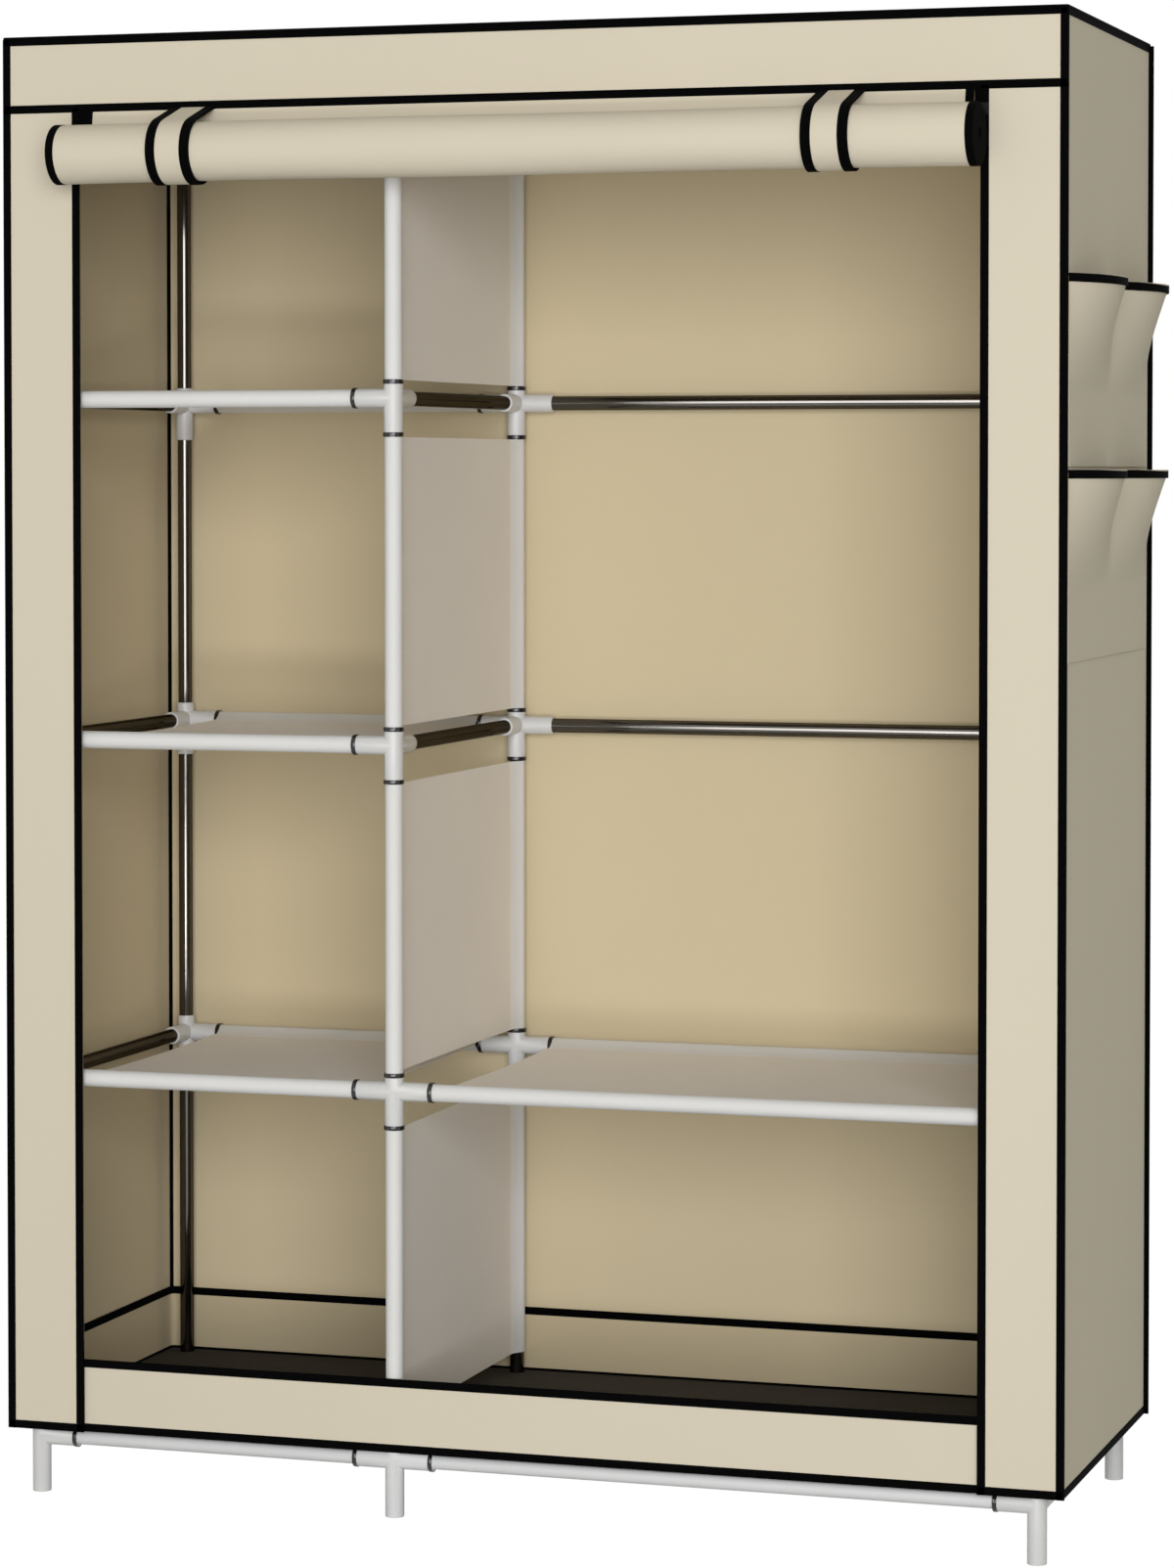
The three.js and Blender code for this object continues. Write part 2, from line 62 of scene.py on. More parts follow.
# Camera
# It stands in front and to the right of the wardrobe at about two thirds of its height, and looks
# slightly down. Its place was worked out from the edges of the cover.
camera_from_cover = Vector((1.5034, -4.7145, 1.1163))
tilt_down = 0.0322
turn_left = 0.3074


def middle_of(node):
    """The middle of a node's box."""
    low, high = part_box(node)
    return (low + high) / 2


def placed(name, data):
    """A new object in the scene, with its mesh, lamp or camera."""
    piece = bpy.data.objects.new(name, data)
    scene.collection.objects.link(piece)
    return piece


camera_lens = bpy.data.cameras.new("camera")
camera_lens.sensor_fit = "VERTICAL"
camera_lens.sensor_height = 36
camera_lens.lens = 103.72
camera_lens.shift_y = -0.10663
camera = placed("camera", camera_lens)
camera.location = Vector((middle_of("cover_back").x, middle_of("cover_left").y, 0)) + camera_from_cover
camera.rotation_euler = (math.pi / 2 - tilt_down, 0, turn_left)
scene.camera = camera

# Floor, backdrop and lights
# A white studio: a pale floor and a white surround, one large soft light behind the camera, a strip of
# light near the floor, a reflector that only glossy surfaces show, and an even light from all round.
ambient_strength = 0.32
floor_shadow_share = 0.07
floor_half = 30


def feed(tree, target, value):
    """Sets a socket to a value, or links it from another socket."""
    if isinstance(value, bpy.types.NodeSocket):
        tree.links.new(value, target)
    else:
        target.default_value = value


def linked(tree, kind, settings=(), **inputs):
    """A node of a tree with its own settings, and its inputs set to values or linked from sockets."""
    node = tree.nodes.new(kind)
    for setting, value in dict(settings).items():
        setattr(node, setting, value)
    for socket, value in inputs.items():
        feed(tree, node.inputs[socket.replace("_", " ")], value)
    return node


def calculated(tree, operation, first, second):
    """The result of one step of arithmetic on two sockets or numbers."""
    node = linked(tree, "ShaderNodeMath", {"operation": operation})
    feed(tree, node.inputs[0], first)
    feed(tree, node.inputs[1], second)
    return node.outputs[0]


def seen_directly(tree):
    """1 for camera, glossy and transmission rays, which see the white surround."""
    rays = tree.nodes.new("ShaderNodeLightPath").outputs
    shown = calculated(tree, "MAXIMUM", rays["Is Camera Ray"], rays["Is Glossy Ray"])
    return calculated(tree, "MAXIMUM", shown, rays["Is Transmission Ray"])


def mixed_to(tree, share, first, second, ending):
    """Mixes two shaders by a share and leads the mix to the tree's output."""
    mixed = tree.nodes.new("ShaderNodeMixShader")
    tree.links.new(share, mixed.inputs[0])
    tree.links.new(first.outputs[0], mixed.inputs[1])
    tree.links.new(second.outputs[0], mixed.inputs[2])
    tree.links.new(mixed.outputs[0], tree.nodes.new(ending).inputs["Surface"])


surround = bpy.data.worlds.new("studio")
surround.use_nodes = True
scene.world = surround
tree = surround.node_tree
tree.nodes.clear()
ambient = linked(tree, "ShaderNodeBackground", Color=(1, 0.97, 0.80, 1), Strength=ambient_strength)
white = linked(tree, "ShaderNodeBackground", Color=(1, 1, 1, 1), Strength=1)
mixed_to(tree, seen_directly(tree), ambient, white, "ShaderNodeOutputWorld")

floor_corners = [(x * floor_half, y * floor_half, 0) for x, y in ((-1, -1), (1, -1), (1, 1), (-1, 1))]
floor_mesh = bpy.data.meshes.new("floor")
floor_mesh.from_pydata(floor_corners, [], [(0, 1, 2, 3)])
floor = placed("floor", floor_mesh)
floor_paint = bpy.data.materials.new("studio floor")
floor_paint.use_nodes = True
tree = floor_paint.node_tree
tree.nodes.clear()
matte = linked(tree, "ShaderNodeBsdfDiffuse", Color=(0.62, 0.62, 0.61, 1))
glow = linked(tree, "ShaderNodeEmission", Color=(1, 1, 1, 1), Strength=1.08)
glow_share = calculated(tree, "MULTIPLY", seen_directly(tree), 1 - floor_shadow_share)
mixed_to(tree, glow_share, matte, glow, "ShaderNodeOutputMaterial")
floor_mesh.materials.append(floor_paint)

for name, place, aim, size, energy, only_reflected in (
    ("soft box", (3.3, -9.4, 2.3), (0, 0, 0.8), (5.5, 4.2), 565, False),
    ("low light", (0.6, -4.6, 0.15), (0, 0, 1.4), (3.0, 0.3), 40, False),
    ("reflector", (-0.95, -4.6, 1.1), (0.2, 0, 1.1), (0.9, 3.2), 55, True),
):
    lamp = bpy.data.lights.new(name, "AREA")
    lamp.shape = "RECTANGLE"
    lamp.size, lamp.size_y = size
    lamp.energy = energy
    light = placed(name, lamp)
    light.location = place
    light.visible_diffuse = not only_reflected
    light.rotation_euler = (Vector(aim) - light.location).to_track_quat("-Z", "Y").to_euler()

# Steel tubes: six uprights in three columns, rods between them, and two front-to-back tubes
# Thin-walled steel tube, 16 mm across, plated in a dark chrome. Each end is cut square, deburred
# and pushed into a moulded socket.
tube_radius = 0.008
tube_wall = 0.0005
tube_burr = 0.0003
round_sides = 32
column_names = ("left", "centre", "right")
both_ends = ("front", "back")
axis_turns = {
    "x": Matrix.Rotation(math.pi / 2, 4, "Y"),
    "y": Matrix.Rotation(-math.pi / 2, 4, "X"),
    "z": Matrix.Identity(4),
}


def turned(shape, profile, axis, place, hollow=False):
    """Adds a turned solid to a bmesh, through (radius, distance along the axis) points.

    The profile starts and ends on the axis, or closes on itself where the solid is hollow.
    """
    turn = Matrix.Translation(place) @ axis_turns[axis]
    angles = [2 * math.pi * i / round_sides for i in range(round_sides)]
    rings = []
    for radius, along in profile:
        if radius == 0:
            rings.append([shape.verts.new(turn @ Vector((0, 0, along)))] * round_sides)
            continue
        points = [Vector((radius * math.cos(a), radius * math.sin(a), along)) for a in angles]
        rings.append([shape.verts.new(turn @ point) for point in points])
    pairs = list(zip(rings, rings[1:]))
    if hollow:
        pairs.append((rings[-1], rings[0]))
    for low, high in pairs:
        for i in range(round_sides):
            j = (i + 1) % round_sides
            shape.faces.new(list(dict.fromkeys((low[i], low[j], high[j], high[i]))))


def smoothed(mesh, sharp_degrees=40):
    """Shades a mesh smooth, except over edges sharper than an angle."""
    mesh.shade_smooth()
    mesh.set_sharp_from_angle(angle=math.radians(sharp_degrees))


def finished(name, shape):
    """A bmesh as a smooth-shaded object, with its faces turned outwards."""
    bmesh.ops.recalc_face_normals(shape, faces=shape.faces)
    mesh = bpy.data.meshes.new(name)
    shape.to_mesh(mesh)
    shape.free()
    smoothed(mesh)
    return placed(name, mesh)


def settle(piece, paint, replaced=(), body="wardrobe"):
    """Gives a piece its finish and its body, and hides the frame's nodes that it stands for."""
    piece.data.materials.clear()
    piece.data.materials.append(paint)
    if replaced:
        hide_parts(*replaced)
    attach(piece, body)


def new_paint(name, **values):
    """A material, its tree and its shader, with the shader's own sockets set."""
    paint = bpy.data.materials.new(name)
    paint.use_nodes = True
    shader = paint.node_tree.nodes["Principled BSDF"]
    for socket, value in values.items():
        shader.inputs[socket.replace("_", " ")].default_value = value
    return paint, paint.node_tree, shader


def spread(tree, value, low, high):
    """A 0 to 1 value brought between two others."""
    return linked(tree, "ShaderNodeMapRange", Value=value, To_Min=low, To_Max=high).outputs[0]


def noise(tree, scale, detail=2.0, stretch=(1, 1, 1)):
    """Noise in Object coordinates, stretched along the axes."""
    coordinates = tree.nodes.new("ShaderNodeTexCoord")
    mapping = linked(tree, "ShaderNodeMapping", Vector=coordinates.outputs["Object"], Scale=stretch)
    grain = linked(tree, "ShaderNodeTexNoise", Vector=mapping.outputs[0], Scale=scale, Detail=detail)
    return grain.outputs[0]


def tinted(tree, shader, colour, shade):
    """Multiplies a colour, or the colour from a socket, by a value and links it to the shader."""
    product = linked(tree, "ShaderNodeVectorMath", {"operation": "SCALE"}, Scale=shade)
    feed(tree, product.inputs[0], colour)
    tree.links.new(product.outputs[0], shader.inputs["Base Color"])


def embossed(tree, shader, height, distance, strength):
    """Raises the shader's surface by a height that comes from a socket."""
    bump = linked(tree, "ShaderNodeBump", Height=height, Distance=distance, Strength=strength)
    tree.links.new(bump.outputs[0], shader.inputs["Normal"])


chrome, tree, shader = new_paint("dark chrome", Metallic=1.0, Specular_Tint=(0.32, 0.31, 0.29, 1))
tinted(tree, shader, (0.120, 0.113, 0.104), spread(tree, noise(tree, 14.0), 0.9, 1.12))
tree.links.new(spread(tree, noise(tree, 60.0, 3.0), 0.07, 0.13), shader.inputs["Roughness"])
embossed(tree, shader, noise(tree, 900.0), 0.00002, 0.4)


def tube(name, axis, low, high, centre, replaced=()):
    """A cut length of tube from low to high along its axis, with deburred ends."""
    inner = tube_radius - tube_wall
    profile = [
        (inner, low),
        (tube_radius - tube_burr, low),
        (tube_radius, low + tube_burr),
        (tube_radius, high - tube_burr),
        (tube_radius - tube_burr, high),
        (inner, high),
    ]
    shape = bmesh.new()
    turned(shape, profile, axis, centre, hollow=True)
    settle(finished(name, shape), chrome, replaced)


tube_nodes = [f"post_{column}_{end}" for column in column_names for end in both_ends]
tube_nodes += [f"shelf_rod_left_{row}_{end}" for row in (1, 2, 3) for end in both_ends]
tube_nodes += [f"shelf_rod_right_3_{end}" for end in both_ends]
tube_nodes += ["hanging_rod_1", "hanging_rod_2", "depth_rod_bottom", "depth_rod_top"]
for node in tube_nodes:
    low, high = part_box(node)
    size = high - low
    along = max(range(3), key=lambda i: size[i])
    centre = middle_of(node)
    centre[along] = 0
    tube(f"tube_{node}", "xyz"[along], low[along], high[along], centre, [node])

# Moulded connectors: a sleeve round each upright and sockets for the rods, at every row
# White polypropylene with rounded mouths. A steel tube joins each front connector of a side to the one
# behind it, and each pale rail is moulded through its centre connector.
socket_radius = 0.0102
bore_radius = 0.0083
mouth_round = 0.0007
arm_reach = 0.045
socket_depth = 0.030
sleeve_above = 0.0195
sleeve_below = 0.041
hem_clearance = 0.0003
cut_past = 0.001
bar_in_arm = 0.004
rail_in_sleeve = 0.01
rail_round = 0.0003
column_x = {column: middle_of(f"post_{column}_front").x for column in column_names}
end_y = {end: middle_of(f"post_left_{end}").y for end in both_ends}
axis_vectors = {"x": Vector((1, 0, 0)), "y": Vector((0, 1, 0)), "z": Vector((0, 0, 1))}

plastic, tree, shader = new_paint("white moulded plastic", Roughness=0.38, IOR=1.49)
tinted(tree, shader, (0.62, 0.62, 0.63), spread(tree, noise(tree, 9.0), 0.97, 1.02))
tree.links.new(spread(tree, noise(tree, 120.0, 3.0), 0.32, 0.46), shader.inputs["Roughness"])
embossed(tree, shader, noise(tree, 1500.0), 0.00003, 0.5)
pale_enamel, tree, shader = new_paint("pale grey enamel", Roughness=0.55, IOR=1.4)
tinted(tree, shader, (0.66, 0.67, 0.69), spread(tree, noise(tree, 11.0), 0.96, 1.03))
embossed(tree, shader, noise(tree, 700.0), 0.00003, 0.4)


def evaluated_mesh(piece, name):
    """A plain mesh of what a piece's modifiers make of it."""
    bpy.context.view_layer.update()
    depsgraph = bpy.context.evaluated_depsgraph_get()
    mesh = bpy.data.meshes.new_from_object(piece.evaluated_get(depsgraph))
    mesh.name = name
    return mesh


def one_body(name, solids, cutters):
    """Joins closed shapes and cuts others from them."""
    made = [finished(f"{name}_part", shape) for shape in solids + cutters]
    whole = made[0]
    for i, other in enumerate(made[1:], 1):
        step = whole.modifiers.new("step", "BOOLEAN")
        step.operation = "UNION" if i < len(solids) else "DIFFERENCE"
        step.solver = "MANIFOLD"
        step.object = other
    mesh = evaluated_mesh(whole, name)
    for part in made:
        bpy.data.objects.remove(part)
    smoothed(mesh)
    return placed(name, mesh)


def plug(axis, radius, low, high, place, rounded=0.0):
    """A closed round bar, square or rounded at its ends."""
    angles = (0, math.pi / 6, math.pi / 3, math.pi / 2) if rounded else (math.pi / 2,)
    corner = [(radius - rounded * (1 - math.sin(t)), rounded * (1 - math.cos(t))) for t in angles]
    profile = [(0, low)] + [(r, low + d) for r, d in corner]
    profile += [(r, high - d) for r, d in reversed(corner)] + [(0, high)]
    shape = bmesh.new()
    turned(shape, profile, axis, place)
    return shape


def connector_solids(place, foot, crown, arms):
    """The sleeve from foot to crown with its arms (axis, side, open), and what is cut from the arms."""
    solids = [plug("z", socket_radius, foot, crown, place, mouth_round)]
    cutters = []
    for axis, side, is_open in arms:
        ends = sorted((0, side * arm_reach))
        solids.append(plug(axis, socket_radius, *ends, place, mouth_round))
        if is_open:
            ends = sorted((side * (arm_reach - socket_depth), side * (arm_reach + cut_past)))
            cutters.append(plug(axis, bore_radius, *ends, place))
    return solids, cutters


# Each level's height, and how far its sleeves reach from there to their feet and crowns
rail_height = middle_of("depth_rod_bottom").z
top_height = middle_of("depth_rod_top").z
levels = {
    "bottom": (rail_height, -rail_height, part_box("base_tray")[0].z - hem_clearance - rail_height),
    "top": (top_height, -sleeve_below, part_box("rung_left_top")[1].z - top_height),
}
for row in ("1", "2", "3"):
    levels[row] = (middle_of(f"shelf_rod_left_{row}_back").z, -sleeve_below, sleeve_above)


def upright_bore(place, level, foot, crown):
    """The hole for the upright: blind at the bottom and the top level, and right through between them."""
    low = -socket_depth if level == "bottom" else foot - cut_past
    high = socket_radius if level == "top" else crown + cut_past
    return plug("z", bore_radius, low, high, place)


mouths = []


def moulded(level, mouldings):
    """The solids and cutters of a level's connectors (column, end, arms), whose mouths are noted."""
    height, foot, crown = levels[level]
    solids, cutters = [], []
    for column, end, arms in mouldings:
        place = Vector((column_x[column], end_y[end], height))
        more_solids, more_cutters = connector_solids(place, foot, crown, arms)
        solids += more_solids
        cutters += more_cutters + [upright_bore(place, level, foot, crown)]
        for axis, side in [(axis, side) for axis, side, _ in arms] + [("z", 1), ("z", -1)]:
            mouths.append((column, end, level, axis, side, place))
    return solids, cutters


for node in [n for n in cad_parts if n.startswith("rung_")]:
    column, level = node.split("_")[1:]
    inward = [1] if column == "left" else [-1]
    front_sides = [] if column == "right" and level in ("1", "2") else inward
    back_sides = [-1, 1] if column == "centre" else inward
    front_arms = [("x", side, True) for side in front_sides] + [("y", 1, False)]
    back_arms = [("x", side, True) for side in back_sides] + [("y", -1, False)]
    solids, cutters = moulded(level, [(column, "front", front_arms), (column, "back", back_arms)])
    connectors = one_body(f"connectors_{column}_{level}", solids, cutters)
    settle(connectors, plastic, [node])
    reach = arm_reach - bar_in_arm
    centre = Vector((column_x[column], 0, levels[level][0]))
    tube(f"bar_{node}", "y", end_y["front"] + reach, end_y["back"] - reach, centre)
for end, towards in (("front", 1), ("back", -1)):
    solids, cutters = moulded("3", [("centre", end, [("x", -1, True), ("x", 1, True)])])
    connector = one_body(f"connectors_centre_3_{end}", solids, cutters)
    settle(connector, plastic, [f"connector_centre_3_{end}"])
    for level in ("bottom", "top"):
        node = f"rail_{level}_{end}"
        arms = [("x", -1, False), ("x", 1, False), ("y", towards, True)]
        solids, cutters = moulded(level, [("centre", end, arms)])
        low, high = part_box(node)
        centre = Vector((0, end_y[end], levels[level][0]))
        left_run = (low.x, column_x["centre"] - rail_in_sleeve)
        right_run = (column_x["centre"] + rail_in_sleeve, high.x)
        solids += [plug("x", tube_radius, *run, centre, rail_round) for run in (left_run, right_run)]
        settle(one_body(f"moulded_{node}", solids, cutters), pale_enamel, [node])

# Mouth rings: a black ring at each mouth from which a cloth sleeve or a pale tube comes
# Glossy black plastic, pressed over the rounded end of the white socket.
ring_length = 0.0046
ring_thickness = 0.0016
ring_round = 0.0005
ring_lift = 0.0001
sealing_black, tree, shader = new_paint("glossy black plastic", Roughness=0.16, IOR=1.5)
tinted(tree, shader, (0.008, 0.008, 0.008), spread(tree, noise(tree, 30.0), 0.8, 1.2))
embossed(tree, shader, noise(tree, 1200.0), 0.00002, 0.4)


def node_tree(name, **inputs):
    """A geometry tree with a mesh coming in, a mesh going out and named inputs, and its two ends."""
    tree = bpy.data.node_groups.new(name, "GeometryNodeTree")
    tree.interface.new_socket("Geometry", in_out="INPUT", socket_type="NodeSocketGeometry")
    for label, value in inputs.items():
        kind = "NodeSocketFloat" if isinstance(value, float) else "NodeSocketMaterial"
        socket = tree.interface.new_socket(label, in_out="INPUT", socket_type=kind)
        socket.default_value = value
    tree.interface.new_socket("Geometry", in_out="OUTPUT", socket_type="NodeSocketGeometry")
    return tree, tree.nodes.new("NodeGroupInput"), tree.nodes.new("NodeGroupOutput")


def end_tree(tree, geometry, ins, outs):
    """Makes a tree's copies real, shades them smooth, gives them their finish and leads them out."""
    real = linked(tree, "GeometryNodeRealizeInstances", Geometry=geometry)
    smooth = linked(tree, "GeometryNodeSetShadeSmooth", Geometry=real.outputs[0], Shade_Smooth=True)
    painted = linked(tree, "GeometryNodeSetMaterial", Geometry=smooth.outputs[0])
    tree.links.new(ins.outputs["Finish"], painted.inputs["Material"])
    tree.links.new(painted.outputs[0], outs.inputs[0])


def grown(name, mesh, tree, **values):
    """The plain mesh object that a geometry tree makes from a mesh, with some of its inputs set anew."""
    seed = placed(f"{name}_seed", mesh)
    growth = seed.modifiers.new("growth", "NODES")
    growth.node_group = tree
    identifiers = {item.name: item.identifier for item in tree.interface.items_tree if item.in_out == "INPUT"}
    for label, value in values.items():
        growth[identifiers[label]] = value
    made = evaluated_mesh(seed, name)
    bpy.data.objects.remove(seed)
    return placed(name, made)


def chains(name, paths, **vectors):
    """A mesh of loose points or open chains of points, whose points carry named vectors."""
    points, edges = [], []
    for path in paths:
        edges += [(i, i + 1) for i in range(len(points), len(points) + len(path) - 1)]
        points += [tuple(point) for point in path]
    mesh = bpy.data.meshes.new(name)
    mesh.from_pydata(points, edges, [])
    for label, values in vectors.items():
        attribute = mesh.attributes.new(label, "FLOAT_VECTOR", "POINT")
        attribute.data.foreach_set("vector", [c for vector in values for c in vector])
    return mesh


def named_vector(tree, label):
    """The socket of a vector that the points carry."""
    node = linked(tree, "GeometryNodeInputNamedAttribute", {"data_type": "FLOAT_VECTOR"}, Name=label)
    return node.outputs["Attribute"]


def aligned(tree, axis, direction):
    """The rotation that brings an axis into a direction."""
    node = linked(tree, "FunctionNodeAlignRotationToVector", {"axis": axis}, Vector=direction)
    return node.outputs[0]


def rounded_section(tree, width, height, rounding, steps=3):
    """A rectangle with rounded corners, as a curve."""
    outline = linked(tree, "GeometryNodeCurvePrimitiveQuadrilateral", Width=width, Height=height)
    fillet = linked(
        tree,
        "GeometryNodeFilletCurve",
        {"mode": "POLY"},
        Curve=outline.outputs[0],
        Count=steps,
        Radius=rounding,
    )
    return fillet.outputs[0]


ring_tree, ins, outs = node_tree(
    "rings at mouths",
    Radius=socket_radius + ring_lift,
    Length=ring_length,
    Thickness=ring_thickness,
    Finish=sealing_black,
)
circle = linked(
    ring_tree,
    "GeometryNodeCurvePrimitiveCircle",
    Resolution=round_sides,
    Radius=ins.outputs["Radius"],
)
section = rounded_section(ring_tree, ins.outputs["Thickness"], ins.outputs["Length"], ring_round)
band = linked(ring_tree, "GeometryNodeCurveToMesh", Curve=circle.outputs["Curve"], Profile_Curve=section)
copies = linked(
    ring_tree,
    "GeometryNodeInstanceOnPoints",
    Points=ins.outputs[0],
    Instance=band.outputs[0],
    Rotation=aligned(ring_tree, "Z", named_vector(ring_tree, "along")),
)
end_tree(ring_tree, copies.outputs[0], ins, outs)

ring_places, ring_lines = [], []
for column, end, level, axis, side, place in mouths:
    if axis == "z":
        bare = column != "centre" or level == "bottom" or (level == "top" and side > 0)
        reach = sleeve_above if side > 0 else sleeve_below
    else:
        for_hanging_rod = end == "back" and side > 0 and column == "centre"
        bare = axis == "y" or (level in ("1", "2") and (for_hanging_rod or column == "right"))
        reach = arm_reach
    if not bare:
        towards = axis_vectors[axis] * side
        ring_places.append(place + towards * (reach - ring_length / 2))
        ring_lines.append(towards)
ring_points = chains("mouths", [[place] for place in ring_places], along=ring_lines)
rings = grown("mouth_rings", ring_points, ring_tree)
settle(rings, sealing_black)

# Shelves and dividers: one cloth each, sewn into a sleeve round the tube at its front and its back
# White nonwoven cloth, hung between two tubes and drawn nearly flat by its own width. The hem of each
# sleeve is turned under the sheet and held by one row of stitches.
cloth_thickness = 0.001
sleeve_radius = 0.0088
seam_reach = 0.0165
hem_turn = 0.008
hem_gap = 0.0002
shelf_sag = 0.0025
divider_bow = 0.0010
cloth_ripple = 0.0003
sleeve_start = 0.004
seam_margin = 0.3

# The sheet and its sleeves are one cloth painted in two tones: the sheet warmer, as painted bounced light,
# and the sleeves darker and greyer, as painted shade.
lining, tree, shader = new_paint(
    "white nonwoven cloth",
    Roughness=0.85,
    Sheen_Weight=0.2,
    Sheen_Roughness=0.5,
    Specular_IOR_Level=0.25,
)
tinted(tree, shader, (0.775, 0.73, 0.69), spread(tree, noise(tree, 6.0, 4.0), 0.95, 1.04))
embossed(tree, shader, noise(tree, 1100.0, 3.0), 0.00012, 0.35)
sleeve_painted_shade, tree, shader = new_paint(
    "white cloth painted darker at the sleeves",
    Roughness=0.7,
    Sheen_Weight=0.2,
    Sheen_Roughness=0.5,
    Specular_IOR_Level=0.3,
)
tinted(tree, shader, (0.70, 0.70, 0.71), spread(tree, noise(tree, 6.0, 4.0), 0.97, 1.03))
embossed(tree, shader, noise(tree, 1100.0, 3.0), 0.00010, 0.35)
white_thread, tree, shader = new_paint("white thread", Roughness=0.6, Sheen_Weight=0.3)
tinted(tree, shader, (0.78, 0.76, 0.73), spread(tree, noise(tree, 300.0), 0.9, 1.05))
embossed(tree, shader, noise(tree, 3000.0), 0.00003, 0.5)


def sheet_of(name, rows, thickness=cloth_thickness):
    """A cloth through rows of points, thickened about its middle, as one closed mesh."""
    across = len(rows[0])
    starts = [r * across + c for r in range(len(rows) - 1) for c in range(across - 1)]
    faces = [(i, i + 1, i + 1 + across, i + across) for i in starts]
    flat = bpy.data.meshes.new(f"{name}_flat")
    flat.from_pydata([tuple(point) for row in rows for point in row], [], faces)
    piece = placed(name, flat)
    thick = piece.modifiers.new("cloth thickness", "SOLIDIFY")
    thick.thickness = thickness
    thick.offset = 0
    thick.use_even_offset = True
    mesh = evaluated_mesh(piece, name)
    piece.modifiers.clear()
    piece.data = mesh
    bpy.data.meshes.remove(flat)
    shape = bmesh.new()
    shape.from_mesh(mesh)
    bmesh.ops.recalc_face_normals(shape, faces=shape.faces)
    shape.to_mesh(mesh)
    shape.free()
    smoothed(mesh, sharp_degrees=50)
    return piece


def evenly(low, high, count):
    """Values from low to high in a count of equal steps."""
    return [low + (high - low) * i / count for i in range(count + 1)]


def slung_line(front, back, sag, steps=28, turn_steps=18):
    """Depth and height of a slung cloth's middle from hem to hem, about the tubes' common level."""
    touch = math.acos(sleeve_radius / seam_reach)
    sweep = evenly(touch, 2 * math.pi - touch, turn_steps)
    ahead = [(front + sleeve_radius * math.cos(t), -sleeve_radius * math.sin(t)) for t in sweep]
    behind = [(back - sleeve_radius * math.cos(t), sleeve_radius * math.sin(t)) for t in sweep]
    start, end = front + seam_reach, back - seam_reach
    sheet = [(start + (end - start) * share, -4 * sag * share * (1 - share)) for share in evenly(0, 1, steps)]
    under = -cloth_thickness - hem_gap
    front_hem = [(start + hem_turn, under), (start, under)]
    back_hem = [(end, under), (end - hem_turn, under)]
    return front_hem + ahead + sheet + behind + back_hem


def length_of(line):
    """The length of a line of points."""
    return sum(math.dist(a, b) for a, b in zip(line, line[1:]))


stitch_tree, ins, outs = node_tree(
    "stitches",
    Pitch=0.0042,
    Length=0.0027,
    Thickness=0.00045,
    Finish=white_thread,
)
path = linked(stitch_tree, "GeometryNodeMeshToCurve", Mesh=ins.outputs[0])
even = linked(
    stitch_tree,
    "GeometryNodeResampleCurve",
    {"mode": "LENGTH"},
    Curve=path.outputs[0],
    Length=ins.outputs["Pitch"],
)
grain = linked(stitch_tree, "GeometryNodeMeshUVSphere", Segments=6, Rings=4, Radius=0.5)
size = linked(
    stitch_tree,
    "ShaderNodeCombineXYZ",
    X=ins.outputs["Length"],
    Y=ins.outputs["Thickness"],
    Z=ins.outputs["Thickness"],
)
tangent = stitch_tree.nodes.new("GeometryNodeInputTangent")
copies = linked(
    stitch_tree,
    "GeometryNodeInstanceOnPoints",
    Points=even.outputs[0],
    Instance=grain.outputs["Mesh"],
    Rotation=aligned(stitch_tree, "X", tangent.outputs[0]),
    Scale=size.outputs[0],
)
end_tree(stitch_tree, copies.outputs[0], ins, outs)


def slung_cloth(node, upright, count=24):
    """The cloth of a shelf, or of a divider when it stands upright, in place of its node."""
    low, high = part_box(node)
    middle = middle_of(node)
    line = slung_line(end_y["front"], end_y["back"], divider_bow if upright else shelf_sag)
    first, last = (low.z, high.z) if upright else (low.x, high.x)

    def at(share, depth, rise):
        """A point at a share of the cloth's width, which ripples between its sleeves."""
        along = first + (last - first) * share
        if abs(rise) < sleeve_start:
            rise += cloth_ripple * math.sin(37 * along + 9 * depth)
        return Vector((middle.x + rise, depth, along)) if upright else Vector((along, depth, middle.z + rise))

    rows = [[at(share, *point) for point in line] for share in evenly(0, 1, count)]
    cloth = sheet_of(f"cloth_{node}", rows)
    seam_depths = (end_y["front"] + seam_reach + hem_turn / 2, end_y["back"] - seam_reach - hem_turn / 2)
    seam_faces = (cloth_thickness / 2, -1.5 * cloth_thickness - hem_gap)
    seam_shares = [(i + seam_margin) / (count + 2 * seam_margin) for i in range(count + 1)]
    seams = [
        [at(share, depth, face) for share in seam_shares]
        for depth in seam_depths
        for face in seam_faces
    ]
    stitching = grown(f"stitches_{node}", chains("seams", seams), stitch_tree)
    settle(cloth, lining, [node])
    # Faces near the tubes take the sleeves' darker, greyer tone: painted shade on the same cloth.
    cloth.data.materials.append(sleeve_painted_shade)
    for face in cloth.data.polygons:
        if min(abs(face.center.y - y) for y in end_y.values()) < seam_reach:
            face.material_index = 1
    settle(stitching, white_thread)


for node in ("shelf_left_1", "shelf_left_2", "shelf_left_3", "shelf_right_3"):
    slung_cloth(node, upright=False)
for node in ("divider_1", "divider_2", "divider_3", "divider_4"):
    slung_cloth(node, upright=True)
